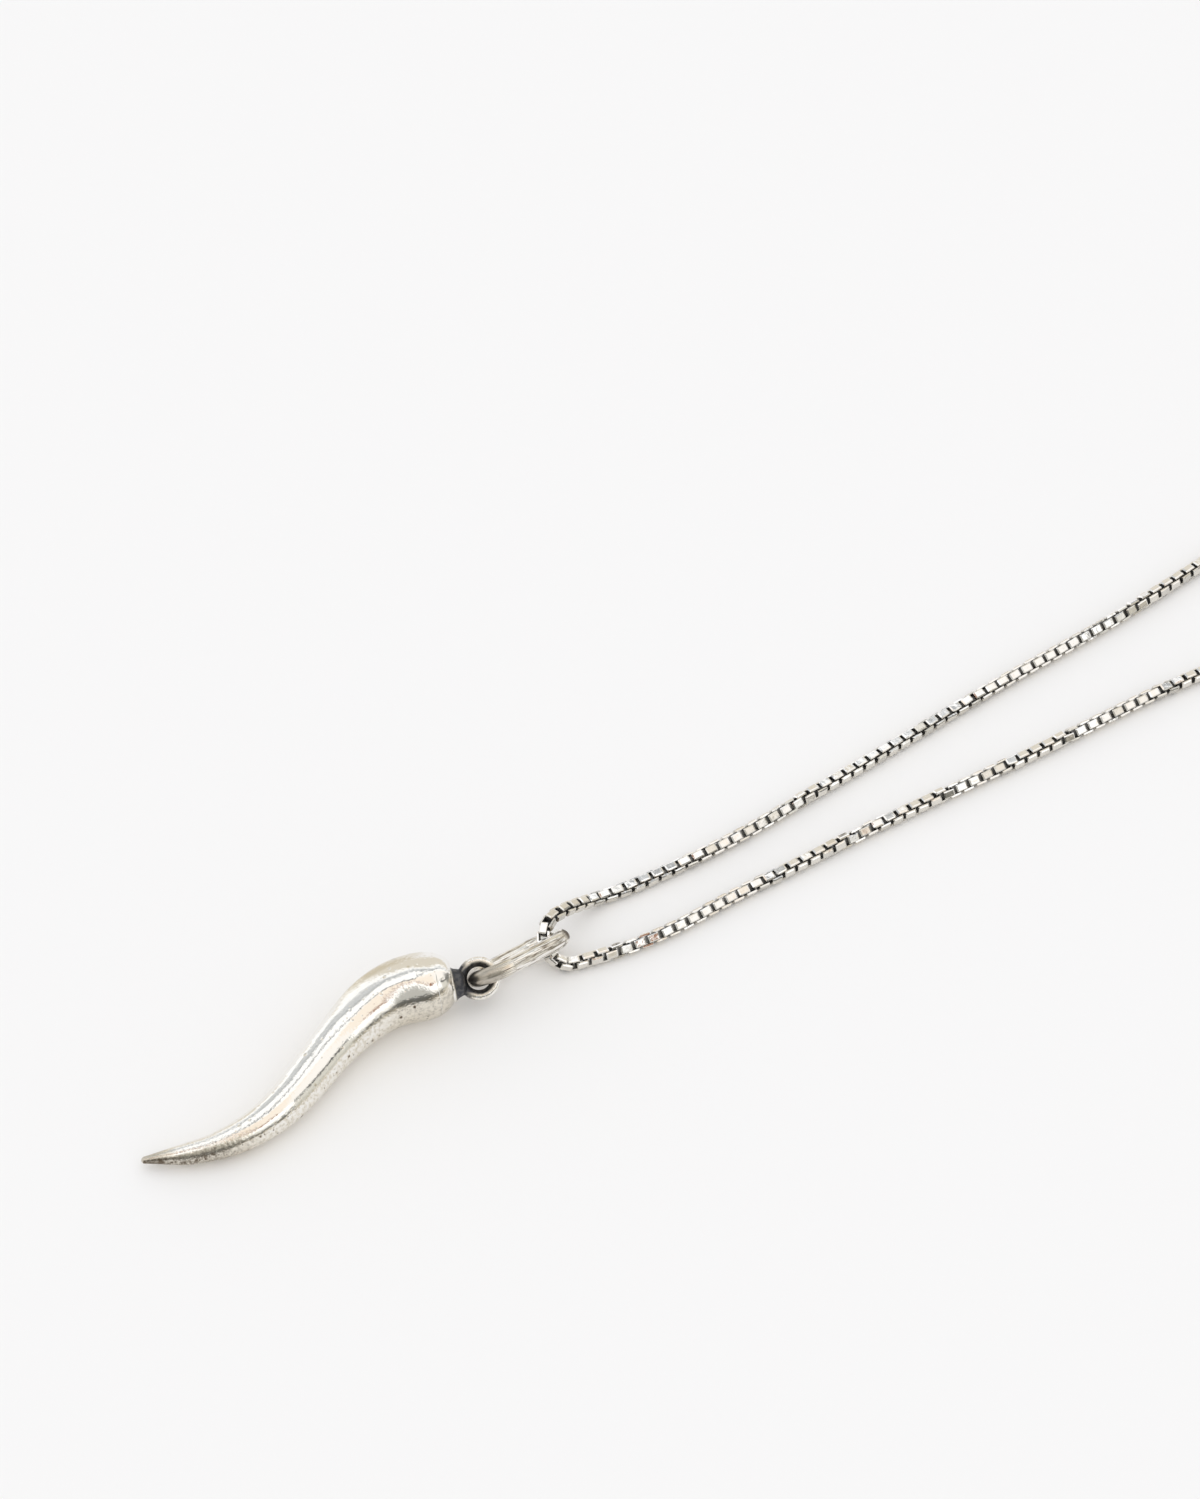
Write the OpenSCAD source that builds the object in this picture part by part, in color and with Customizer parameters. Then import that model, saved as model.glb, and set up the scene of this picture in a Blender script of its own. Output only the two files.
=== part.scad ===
// Cornicello: a cast silver horn on an oval bail, threaded on a fine box chain.
// The necklace lies on a table. +Z is up, and it runs along X with the horn's tip at -X.
// The origin is on the table, under the middle of the whole necklace. Sizes are in millimetres.

/* [Horn] */
// Length of the horn along its curve, from the tip to the cap
horn_len = 29; // [24:0.2:34]
// Greatest thickness of the horn, near its head
horn_dia = 5; // [4:0.1:6]
// Thickness of the blunt tip
tip_dia = 0.45; // [0.3:0.05:0.8]

/* [Cap and loop] */
// Diameter of the cap soldered on the head
cap_dia = 2.6; // [2:0.1:3.2]
// Length of the cap
cap_len = 0.9; // [0.5:0.05:1.2]
// Wire thickness of the loop
loop_wire = 0.68; // [0.5:0.02:0.9]
// Play of the bail's wire in the loop, all round
loop_play = 0.36; // [0.2:0.02:0.6]
// Roll of the loop about the horn's axis, from lying flat, in degrees
loop_roll = 35; // [20:1:50]

/* [Bail] */
// Outside length of the oval bail
bail_len = 9; // [8:0.1:11]
// Wire thickness of the bail
bail_wire = 1.25; // [0.9:0.05:1.5]
// Play of the chain in the bail's opening, on each side
bail_play = 0.9; // [0.7:0.05:1.1]
// Lean of the bail's face from lying flat, in degrees
bail_lean = 48; // [35:1:55]

/* [Chain] */
// Width of the square box chain
chain_w = 1; // [0.8:0.05:1.2]
// Gap between the chain and the far end of the bail
pull_gap = 0.15; // [0.1:0.05:0.4]

/* [Clasp] */
// Outside diameter of the spring ring
clasp_dia = 5.5; // [5:0.1:7]
// Thickness of the spring ring's tube
clasp_wire = 1.1; // [0.8:0.05:1.4]
// Outside diameter of the eyelet on each side of it
eye_dia = 2.4; // [2:0.1:3]
// Wire thickness of the eyelets
eye_wire = 0.6; // [0.4:0.05:0.8]
// Gap between an eyelet and the end of the chain
end_gap = 0.1; // [0.1:0.05:0.3]

/* [Hidden] */
$fn = 48;

// Heading of the horn's curve from above: share of its length from the tip, degrees from +X
HORN_BENDS = [
    [0, -26], [0.1, -24], [0.2, -12], [0.32, 5], [0.44, 20],
    [0.56, 24], [0.68, 19], [0.8, 4], [0.9, -20], [1, -20]
];
// Swelling of the horn: share of its length, share of the way from tip to greatest thickness
HORN_SWELL = [
    [0, 0], [0.05, 0.11], [0.11, 0.25], [0.18, 0.34], [0.25, 0.43], [0.32, 0.5], [0.38, 0.56],
    [0.45, 0.61], [0.52, 0.65], [0.6, 0.69], [0.67, 0.755], [0.74, 0.84], [0.81, 0.92], [0.87, 0.98], [0.905, 1]
];
// Roundness of the dome that closes the head
DOME_POWER = 2.5;
// Ledge between the dome and the cap
CAP_LEDGE = 0.1;
// Shares of the horn's length at which its underside touches the table
REST_SHARES = [0.35, 0.885];
// Where the horn's sections stand: rings along the body and over the dome, and the corners of a ring
BODY_RINGS = 36;
DOME_RINGS = 8;
HORN_SIDES = 24;
// Shares of the tip's radius at which its rounding has a ring
TIP_RINGS = [0.04, 0.3, 0.65, 1];

// Route of the chain from one eyelet, through the bail at [0, 0], to the other eyelet:
// X and Y from the bail, and the height above lying flat as a share of the height in the bail
ROUTE = [
    [194, 13, 0], [188, 24, 0], [177, 33, 0], [163, 37, 0], [148, 35, 0], [116, 22, 0],
    [100, 14.5, 0], [83, 8, 0], [62, 4.5, 0], [42, 3.25, 0], [27.5, 2.3, 0], [16, 1.75, 0],
    [9.6, 2.1, 0], [5.9, 2.4, 0.26], [4, 2, 0.91], [2.5, 1.6, 1.37], [1.25, 1.25, 1.49],
    [0.55, 0.8, 1.38], [0.18, 0.4, 1.2], [0, 0, 1], [-0.03, -0.4, 0.76], [0.2, -0.9, 0.42],
    [0.95, -1.5, 0.08], [3.2, -2.2, 0], [7.3, -2.9, 0], [16, -3, 0], [29, -3.2, 0], [42, -3.8, 0],
    [58, -4.3, 0], [80, -7.5, 0], [99, -14.5, 0], [116, -22, 0], [148, -35, 0],
    [163, -37, 0], [177, -33, 0], [188, -24, 0], [194, -13, 0]
];
// Rings of the tube between two points of the route, and the corners of a ring
ROUTE_STEPS = 2;
CHAIN_SIDES = 8;

// Slope at row i of a table of [position, value] rows, from the parabola through the row and its neighbours
function slope(table, i) =
    let (a = max(i - 1, 0), b = min(i + 1, len(table) - 1))
    let (before = table[i][0] - table[a][0], after = table[b][0] - table[i][0])
    before == 0 || after == 0
        ? (table[b][1] - table[a][1]) / (before + after)
        : ((table[i][1] - table[a][1]) * after / before + (table[b][1] - table[i][1]) * before / after)
            / (before + after);

// Value of such a table at position x, on a smooth curve through all its rows
function smooth(table, x, i = 0) =
    i < len(table) - 2 && x > table[i + 1][0]
        ? smooth(table, x, i + 1)
        : let (span = table[i + 1][0] - table[i][0])
          let (f = (x - table[i][0]) / span)
          table[i][1] * (2 * f ^ 3 - 3 * f ^ 2 + 1) + table[i + 1][1] * (3 * f ^ 2 - 2 * f ^ 3)
              + span * (slope(table, i) * (f ^ 3 - 2 * f ^ 2 + f) + slope(table, i + 1) * (f ^ 3 - f ^ 2));

// Points with the distance walked to each, as such a table
function measured(points) =
    [for (i = 0, d = 0; i < len(points);
        d = d + (i + 1 < len(points) ? norm(points[i + 1] - points[i]) : 0), i = i + 1) [d, points[i]]];

// Unit vector with a given heading and climb, in degrees
function aim(heading, climb) =
    [cos(heading) * cos(climb), sin(heading) * cos(climb), sin(climb)];

// Ring of points about a path point: one side level, the other square to the path
function ring(centre, along, radius, sides) =
    let (level = cross([0, 0, 1], along) / norm(cross([0, 0, 1], along)))
    let (rise = cross(along, level))
    [for (k = [0 : sides - 1]) centre + radius * (cos(360 * k / sides) * level + sin(360 * k / sides) * rise)];

// Solid through rings of the same number of corners, closed flat at both ends
module skin(rings) {
    sides = len(rings[0]);
    last = len(rings) - 1;
    polyhedron(
        points = [for (r = rings) each r],
        faces = concat(
            [[for (k = [0 : sides - 1]) k]],
            [for (i = [0 : last - 1], k = [0 : sides - 1])
                [i * sides + k, (i + 1) * sides + k, (i + 1) * sides + (k + 1) % sides, i * sides + (k + 1) % sides]],
            [[for (k = [sides - 1 : -1 : 0]) last * sides + k]]
        )
    );
}

// Thickness of the horn, as a radius, at a share of its length
horn_r = horn_dia / 2;
tip_r = tip_dia / 2;
dome_start = HORN_SWELL[len(HORN_SWELL) - 1][0];
dome_end_r = cap_dia / 2 + CAP_LEDGE;
dome_reach = (1 - (dome_end_r / horn_r) ^ DOME_POWER) ^ (1 / DOME_POWER);
function body_radius(share) = tip_r + (horn_r - tip_r) * smooth(HORN_SWELL, share);
function dome_radius(share) =
    horn_r * (1 - (dome_reach * (share - dome_start) / (1 - dome_start)) ^ DOME_POWER) ^ (1 / DOME_POWER);
function tip_rounding(share) =
    share * horn_len < tip_r ? sqrt(1 - (1 - share * horn_len / tip_r) ^ 2) : 1;
function horn_radius(share) =
    (share > dome_start ? dome_radius(share) : body_radius(share)) * tip_rounding(share);

// Height that keeps the undersides of the horn and the bail just clear of the table
TABLE_GAP = 0.02;
// The horn lies on two places of its underside, so its middle line climbs evenly towards the head
rest_r = [for (share = REST_SHARES) horn_radius(share)];
horn_climb = asin((rest_r[1] - rest_r[0]) / (horn_len * (REST_SHARES[1] - REST_SHARES[0])));
head_z = TABLE_GAP + rest_r[1] + (1 - REST_SHARES[1]) * horn_len * sin(horn_climb);
head_heading = HORN_BENDS[len(HORN_BENDS) - 1][1];
head_aim = aim(head_heading, horn_climb);

// The middle of the loop's wire is sunk into the cap by this share of its thickness
LOOP_SINK = 0.25;
loop_r = bail_wire / 2 + loop_play + loop_wire / 2;
loop_reach = cap_len + loop_r - LOOP_SINK * loop_wire;
loop_z = head_z + loop_reach * sin(horn_climb);

// The bail's far end lies on the table and its near end hangs in the loop.
// The middle of its wire lies this far from the middle of the loop, away from the cap
SLACK = 0.1;
// Turn of the bail from above, in degrees from -X
BAIL_TURN = 5;
bail_r = chain_w / 2 + bail_play + bail_wire / 2;
bail_straight = bail_len - 2 * bail_r - bail_wire;
bail_far_z = TABLE_GAP + bail_r * sin(bail_lean) + bail_wire / 2;
bail_climb = asin((loop_z - bail_far_z) / (bail_straight + bail_r));
bail_aim = aim(180 + BAIL_TURN, bail_climb);
thread_to_end = chain_w / 2 + pull_gap + bail_wire / 2;
thread_z = bail_far_z - (bail_r - thread_to_end) * sin(bail_climb);
thread = [0, 0, thread_z];
bail_far = thread + (bail_r - thread_to_end) * bail_aim;
loop_at = thread + (bail_straight + 2 * bail_r - thread_to_end - SLACK) * bail_aim;
head_at = loop_at - loop_reach * head_aim;

// Middle line of the horn: walked from the tip in short steps, then moved to meet the cap
STEPS = 96;
function step(i) = horn_len / STEPS * aim(smooth(HORN_BENDS, (i + 0.5) / STEPS), horn_climb);
horn_walk = [for (i = 0, p = [0, 0, 0]; i <= STEPS; p = p + step(i), i = i + 1) [i / STEPS, p]];
tip_at = head_at - horn_walk[STEPS][1];
function horn_point(share) = tip_at + smooth(horn_walk, share);

horn_shares = concat(
    [for (f = TIP_RINGS) f * tip_r / horn_len],
    [for (i = [1 : BODY_RINGS]) let (f = i / BODY_RINGS) tip_r / horn_len * (1 - f) + dome_start * f],
    [for (i = [1 : DOME_RINGS]) dome_start + (1 - dome_start) * sin(90 * i / DOME_RINGS)]
);

// The clasp's eyelets are sunk into its ring's sides, and the chain's ends come up to them along Y
clasp_r = (clasp_dia - clasp_wire) / 2;
eye_r = (eye_dia - eye_wire) / 2;
eye_y = clasp_dia / 2 + eye_dia / 2 - (clasp_wire + eye_wire) / 4;
chain_end_y = eye_y + eye_dia / 2 + end_gap;
CLASP_X = 195.5;

// Chain route as [distance, point] rows
lie_z = chain_w / 2;
function route_point(row) = [row[0], row[1], lie_z + row[2] * (thread_z - lie_z)];
route = concat([[CLASP_X, chain_end_y, lie_z]], [for (row = ROUTE) route_point(row)],
    [[CLASP_X, -chain_end_y, lie_z]]);
route_rows = measured(route);
function on_table(point) = [point[0], point[1], max(point[2], lie_z)];
chain_line = [for (i = [0 : len(route) - 2], k = [0 : ROUTE_STEPS - 1])
    on_table(smooth(route_rows, route_rows[i][0] + (route_rows[i + 1][0] - route_rows[i][0]) * k / ROUTE_STEPS))];
chain_path = concat(chain_line, [route[len(route) - 1]]);

// The necklace's middle comes to the origin
tip_x = tip_at[0];
clasp_x_end = CLASP_X + clasp_dia / 2;
middle_x = (tip_x + clasp_x_end) / 2;
module placed() {
    translate([-middle_x, 0, 0]) children();
}

function path_aim(path, i) =
    let (d = path[min(i + 1, len(path) - 1)] - path[max(i - 1, 0)]) d / norm(d);

module horn_body() {
    skin([for (share = horn_shares)
        ring(horn_point(share), aim(smooth(HORN_BENDS, share), horn_climb), horn_radius(share), HORN_SIDES)]);
}

module cap_and_loop() {
    SINK = 0.3;
    translate([-SINK, 0, 0]) rotate([0, 90, 0]) cylinder(d = cap_dia, h = cap_len + SINK);
    translate([loop_reach, 0, 0]) rotate([loop_roll, 0, 0])
        rotate_extrude() translate([loop_r, 0]) circle(d = loop_wire);
}

module horn() {
    color("silver") placed() {
        horn_body();
        translate(head_at) rotate([0, -horn_climb, head_heading]) cap_and_loop();
    }
}

// Oval ring of round wire, flat, with its far end about the origin and its near end towards +X
module oval_ring(straight, radius, wire) {
    for (end = [0, 1]) {
        translate([end * straight, 0, 0]) rotate([0, 0, 90 - 180 * end])
            rotate_extrude(angle = 180) translate([radius, 0]) circle(d = wire);
    }
    for (side = [-1, 1]) {
        translate([0, side * radius, 0]) rotate([0, 90, 0]) cylinder(d = wire, h = straight);
    }
}

module bail() {
    color("gainsboro") placed()
        translate(bail_far) rotate([0, -bail_climb, 180 + BAIL_TURN]) rotate([bail_lean, 0, 0])
            oval_ring(bail_straight, bail_r, bail_wire);
}

module chain() {
    color("lightgray") placed()
        skin([for (i = [0 : len(chain_path) - 1])
            ring(chain_path[i], path_aim(chain_path, i), chain_w / 2, CHAIN_SIDES)]);
}

module clasp() {
    color("silver") placed() translate([CLASP_X, 0, clasp_wire / 2]) {
        rotate_extrude() translate([clasp_r, 0]) circle(d = clasp_wire);
        for (side = [-1, 1]) {
            translate([0, side * eye_y, 0]) rotate_extrude() translate([eye_r, 0]) circle(d = eye_wire);
        }
    }
}

horn();
bail();
chain();
clasp();
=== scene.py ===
# %% [markdown]
# # A cast silver horn on a box chain
#
# This notebook dresses a small pendant: a cornicello, which is a curved silver horn, hung on an
# oval bail and threaded on a fine box chain. Polished silver has hardly any colour of its own.
# Nearly all that the eye sees on it is the room that it reflects, bent by its shape, so the
# light here gets as much care as the metal.
#
# Everything is measured in the frame of the solid model, which is loaded first and never moved.

# %% Load the solid model
import math

import bmesh
import bpy
import numpy as np
from mathutils import Matrix, Vector


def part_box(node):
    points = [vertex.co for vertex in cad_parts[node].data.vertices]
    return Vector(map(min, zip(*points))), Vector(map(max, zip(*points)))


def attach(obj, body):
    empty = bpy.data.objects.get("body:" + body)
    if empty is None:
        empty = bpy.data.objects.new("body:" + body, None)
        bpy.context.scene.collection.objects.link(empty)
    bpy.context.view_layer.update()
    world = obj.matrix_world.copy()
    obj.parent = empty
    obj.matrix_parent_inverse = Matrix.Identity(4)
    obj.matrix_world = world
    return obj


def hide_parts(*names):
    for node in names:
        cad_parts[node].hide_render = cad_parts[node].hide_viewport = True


MM = 0.001

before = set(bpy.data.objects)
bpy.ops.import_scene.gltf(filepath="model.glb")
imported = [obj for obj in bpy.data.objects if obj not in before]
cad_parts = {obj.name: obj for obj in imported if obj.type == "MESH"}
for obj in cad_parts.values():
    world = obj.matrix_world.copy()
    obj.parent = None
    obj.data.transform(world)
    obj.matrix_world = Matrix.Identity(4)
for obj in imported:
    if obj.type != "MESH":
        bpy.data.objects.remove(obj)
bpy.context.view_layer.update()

# %% [markdown]
# ## Camera
#
# A necklace is photographed from above and in front, from far enough away that it hardly
# narrows with distance. The camera stands at an angle round the pendant and above the table,
# and looks at one point of the table. A long lens keeps the shape true.

# %% Set the camera
LOOK_AT = Vector((-66.25, 15.41, 0)) * MM
CAMERA_TURN = math.radians(-33)
CAMERA_RISE = math.radians(50)
CAMERA_DISTANCE = 472.4 * MM
LENS = 144.1

camera = bpy.data.objects.new("camera", bpy.data.cameras.new("camera"))
bpy.context.scene.collection.objects.link(camera)
bpy.context.scene.camera = camera
towards_camera = Vector((
    math.sin(CAMERA_TURN) * math.cos(CAMERA_RISE),
    -math.cos(CAMERA_TURN) * math.cos(CAMERA_RISE),
    math.sin(CAMERA_RISE),
))
camera.location = LOOK_AT + CAMERA_DISTANCE * towards_camera
camera.rotation_euler = (-towards_camera).to_track_quat("-Z", "Y").to_euler()
camera.data.lens = LENS
camera.data.clip_start = 10 * MM
camera.data.clip_end = 100
print("camera at", [round(v / MM, 1) for v in camera.location], "mm")

# %% [markdown]
# ## A short hand for node graphs
#
# Materials, the light of the room and the repeating pieces are all node graphs. Written one
# node at a time they are hard to read, so this cell makes two small helpers. `Value` wraps the
# output of a node and lets Python's own operators add the Math nodes. `Graph.node` makes any
# other node from its type, its settings, which are set first, and what goes into its sockets.

# %% Wrap sockets and graphs
class Value:
    """The output of a node, which takes part in Python expressions."""

    def __init__(self, graph, socket):
        self.graph = graph
        self.socket = socket

    def __add__(self, other):
        return self.graph.math("ADD", self, other)

    def __sub__(self, other):
        return self.graph.math("SUBTRACT", self, other)

    def __rsub__(self, other):
        return self.graph.math("SUBTRACT", other, self)

    def __mul__(self, other):
        return self.graph.math("MULTIPLY", self, other)

    def __truediv__(self, other):
        return self.graph.math("DIVIDE", self, other)

    def __rtruediv__(self, other):
        return self.graph.math("DIVIDE", other, self)

    __radd__ = __add__
    __rmul__ = __mul__


class Graph:
    """A node tree with one method that makes any node."""

    def __init__(self, tree):
        self.tree = tree

    def node(self, kind, settings=None, inputs=None, output=0):
        made = self.tree.nodes.new(kind)
        for name, setting in (settings or {}).items():
            if name == "stops":
                self.set_stops(made.color_ramp, setting)
            else:
                setattr(made, name, setting)
        for key, given in (inputs or {}).items():
            if isinstance(given, Value):
                self.tree.links.new(given.socket, made.inputs[key])
            else:
                made.inputs[key].default_value = given
        return Value(self, made.outputs[output])

    def set_stops(self, ramp, stops):
        while len(ramp.elements) < len(stops):
            ramp.elements.new(1)
        for element, (position, colour) in zip(ramp.elements, stops):
            element.position = position
            element.color = (*colour, 1)

    def math(self, operation, first, second=0.0, third=0.0):
        given = {0: first, 1: second, 2: third}
        return self.node("ShaderNodeMath", {"operation": operation}, given)

    def smooth_step(self, number, painted_floor_shade, high):
        """0 below low, 1 above high, and a soft curve between them."""
        inputs = {"Value": number, "From Min": painted_floor_shade, "From Max": high}
        return self.node("ShaderNodeMapRange", {"interpolation_type": "SMOOTHSTEP"}, inputs)

    def band(self, number, painted_floor_shade, high, soft):
        """1 between low and high, and 0 outside, with edges that are soft."""
        rise = self.smooth_step(number, painted_floor_shade - soft, painted_floor_shade + soft)
        fall = self.smooth_step(number, high - soft, high + soft)
        return rise * (1 - fall)

    def blend(self, factor, first, second):
        """Colour that goes from the first to the second as the factor goes from 0 to 1."""
        first, second = [c if isinstance(c, Value) else (*c, 1) for c in (first, second)]
        given = {0: factor, 6: first, 7: second}
        return self.node("ShaderNodeMix", {"data_type": "RGBA"}, given, output=2)


# %% [markdown]
# ## Table
#
# The necklace lies on a plain pale table. The table gives the soft shadow that shows how high
# each piece stands, and it is also the largest thing that the silver reflects.

# %% Make the table
TABLE_REACH = 8
TABLE_DROP = 0.01 * MM
TABLE_COLOUR = (0.90, 0.865, 0.81)

bpy.ops.mesh.primitive_plane_add(size=2 * TABLE_REACH, location=(0, 0, -TABLE_DROP))
table = bpy.context.object
table.name = "table"
table_paint = bpy.data.materials.new("pale table")
table_paint.use_nodes = True
paint = table_paint.node_tree.nodes["Principled BSDF"]
paint.inputs["Base Color"].default_value = (*TABLE_COLOUR, 1)
paint.inputs["Roughness"].default_value = 0.9
table.data.materials.append(table_paint)
print("table of", 2 * TABLE_REACH, "m each way")

# %% [markdown]
# ## Light
#
# Small silver is photographed in a tent of white cloth. The cloth gives soft light from all
# round, and its seams, panels and dark gaps show on the metal as long thin bands. The next
# cells paint such a tent on the sky. Most bands run along X, like the horn, so two numbers place
# them: `angle` is 0 at the horizon on the far side, 90 straight up and 180 at the horizon on the
# near side, and `right` goes from -1 at the left end of the tent to 1 at its right end.
#
# The tent is much the same on every side, so the renderer needn't aim rays at bright spots.
# Leaving that out more than halves the time that a picture takes.

# %% Find the way on the sky
world = bpy.data.worlds.new("tent")
bpy.context.scene.world = world
world.use_nodes = True
world.cycles.sampling_method = "NONE"
tent = Graph(world.node_tree)
direction = tent.node("ShaderNodeTexCoord", output="Generated")
split = tent.node("ShaderNodeSeparateXYZ", inputs={0: direction})
right, far, up = [Value(tent, socket) for socket in split.socket.node.outputs]
angle = tent.math("ARCTAN2", up, far) * (180 / math.pi)
folds = tent.node("ShaderNodeMapping", inputs={"Vector": direction, "Scale": (14, 60, 60)})
folds = tent.node(
    "ShaderNodeTexNoise", inputs={"Vector": folds, "Scale": 1.0, "Detail": 4.0, "Roughness": 0.7}
)


def held(number, painted_floor_shade, high):
    """The number, held between two limits."""
    return tent.math("MINIMUM", tent.math("MAXIMUM", number, painted_floor_shade), high)


# %% [markdown]
# The tent is painted one band over the other, all angles in degrees. A seam that ran straight
# along X would show in the wrong place near the horn's ends, because the horn is bent. So most
# edges shift with `right`. The far side is white over a beige hem, with one wide creased seam.

# %% Paint the far side
WHITE_CLOTH = (1.14, 1.14, 1.13)
PALE_CLOTH = (1.07, 1.03, 0.98)
CREAM_CLOTH = (1.05, 0.95, 0.83)
BEIGE_CLOTH = (0.76, 0.71, 0.61)
GREY_SEAM = (0.50, 0.52, 0.53)
THIN_SEAM = (0.08, 0.08, 0.08)

# White as far as the top, then cream, and paler towards the right end
cream_at = held(right, -0.4, 0) * 60 + 94
cloth = tent.blend(tent.smooth_step(angle - cream_at, -3, 4), WHITE_CLOTH, CREAM_CLOTH)
pale = tent.smooth_step(right, 0.28, 0.38) * tent.smooth_step(angle, 84, 96)
cloth = tent.blend(pale, cloth, PALE_CLOTH)

# The hem along the far horizon
beige_end = held(right, -0.1, 0.4) * 115 + 4
cloth = tent.blend(1 - tent.smooth_step(angle - beige_end, -3, 3), cloth, BEIGE_CLOTH)

# The wide grey seam, and the broken dark line of its upper fold
to_right = (held(right, 0.06, 0.5) - 0.06) * 70
seam_low = 51 - held(right, 0, 0.05) * 70 + to_right
seam_high = tent.smooth_step(right, 0.02, 0.1) * 10 + 23 + to_right
seam = tent.smooth_step(angle - seam_high, -4, 4)
seam = seam * (1 - tent.smooth_step(angle - seam_low, -1.5, 1.5))
cloth = tent.blend(seam * (tent.smooth_step(folds, 0.3, 0.6) * 0.7 + 0.3), cloth, GREY_SEAM)
fold_line = tent.band(angle - seam_low, -6, -1, 1) * tent.smooth_step(folds, 0.35, 0.55)
cloth = tent.blend(fold_line * 0.6, cloth, THIN_SEAM)

# A thin dark seam between the white and the cream
thin_at = 90 - held(right, 0, 0.28) * 90 + (held(right, -0.4, -0.12) + 0.12) * 70
thin_seam = tent.band(angle - thin_at, -3.5, 2.5, 0.7) * tent.band(right, -0.35, 0.24, 0.04)
cloth = tent.blend(thin_seam, cloth, THIN_SEAM)

# %% [markdown]
# The near side holds the brightest cloth, an olive panel under it, and a dark gap where the
# tent opens for the lens. At its right end a grey wall stands behind a thin seam.

# %% Paint the near side
BRIGHT_CLOTH = (1.30, 1.29, 1.26)
OLIVE_CLOTH = (0.54, 0.53, 0.49)
GREY_WALL = (0.74, 0.72, 0.65)
BROWN_EDGE = (0.30, 0.12, 0.05)
DARK_GAP = (0.15, 0.15, 0.14)

# The bright cloth, with the olive panel under it
leftward = held(right, -0.3, 0.02) - 0.02
bright_at = leftward * 150 + 133
panel_at = leftward * 140 + 157
cloth = tent.blend(tent.smooth_step(angle - bright_at, -1, 1), cloth, BRIGHT_CLOTH)
cloth = tent.blend(tent.smooth_step(angle - panel_at, -12, 10), cloth, OLIVE_CLOTH)

# The grey wall and its seam
right_end = tent.smooth_step(right, 0.42, 0.56)
cloth = tent.blend(tent.smooth_step(angle, 128, 133) * right_end, cloth, GREY_WALL)
cloth = tent.blend(tent.band(angle, 133, 141, 1.5) * right_end, cloth, THIN_SEAM)

# A broken brown edge where the bright cloth starts
brown = tent.band(angle - bright_at, -4, 3, 0.8) * (1 - tent.smooth_step(right, 0.19, 0.27))
cloth = tent.blend(brown * tent.smooth_step(folds, 0.25, 0.45), cloth, BROWN_EDGE)

# The gap for the lens
dark = tent.smooth_step(angle - held(right, -0.1, 0) * 40, 160, 163) * (1 - 0.8 * right_end)
cloth = tent.blend(dark, cloth, DARK_GAP)

# %% [markdown]
# Both ends of the tent are dark low down, and a beige cloth lies along the near horizon.

# %% Paint the ends
DARK_END = (0.13, 0.13, 0.12)

left_dark = (1 - tent.smooth_step(right, -0.62, -0.42)) * tent.smooth_step(angle, 128, 150)
right_dark = tent.smooth_step(right, 0.8, 0.9) * tent.smooth_step(angle, 100, 120)
cloth = tent.blend(left_dark * 0.55 + right_dark * 0.7, cloth, DARK_END)
near_hem = tent.smooth_step(angle + 40 * held(right, -0.3, 0), 170, 174)
cloth = tent.blend(near_hem, cloth, BEIGE_CLOTH)
print("tent painted with", len(world.node_tree.nodes), "nodes")

# %% [markdown]
# The metal mirrors that tent, but the matt table only sees how much light comes from each side.
# So the sky answers the table's rays with a plain soft light, strongest overhead, which gives
# soft short shadows. A ray that leaves the table and reaches the sky by way of the metal finds
# a warmer light, so the silver throws a warm glow on the table beside it, as in the photograph.
# The camera's own rays find plain pale cloth.

# %% Light the table
OVERHEAD = Vector((0, 0, 1))
OVERHEAD_LIGHT = (1.192, 1.238, 1.322)
SIDE_LIGHT = (0.959, 0.991, 1.06)
LIGHT_OFF_METAL = (1.32, 1.24, 1.06)
BACKDROP = (0.93, 0.93, 0.92)


def dot(graph, first, second):
    """How far one vector reaches along the other."""
    given = {0: first, 1: second}
    return graph.node("ShaderNodeVectorMath", {"operation": "DOT_PRODUCT"}, given, output="Value")


overhead = tent.smooth_step(dot(tent, direction, OVERHEAD), 0.57, 0.985)
soft_light = tent.blend(overhead, SIDE_LIGHT, OVERHEAD_LIGHT)
rays = tent.node("ShaderNodeLightPath").socket.node.outputs
off_table = tent.math("MINIMUM", Value(tent, rays["Diffuse Depth"]), 1)
sky = tent.blend(off_table, cloth, LIGHT_OFF_METAL)
sky = tent.blend(Value(tent, rays["Is Diffuse Ray"]), sky, soft_light)
sky = tent.blend(Value(tent, rays["Is Camera Ray"]), sky, BACKDROP)
world.node_tree.links.new(sky.socket, world.node_tree.nodes["Background"].inputs["Color"])
bpy.context.scene.view_settings.view_transform = "Standard"
print("sky of", len(world.node_tree.nodes), "nodes")

# %% [markdown]
# ## Smooth tables
#
# A maker draws a curve with a few marks and lets a bent strip of wood join them. `smooth` does
# the same for a table of rows: it draws a smooth curve through every row. It is the same rule
# that shaped the solid model, so the dressed pieces lie where the solids lie.

# %% Join the rows of a table
def slopes(at, rows):
    """Slope of the curve at every row, from the parabola through the row and its neighbours."""
    before = np.diff(at)[:-1, None]
    after = np.diff(at)[1:, None]
    steps = np.diff(rows, axis=0)
    inner = (steps[:-1] * after / before + steps[1:] * before / after) / (before + after)
    first = steps[:1] / (at[1] - at[0])
    last = steps[-1:] / (at[-1] - at[-2])
    return np.concatenate([first, inner, last])


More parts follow.
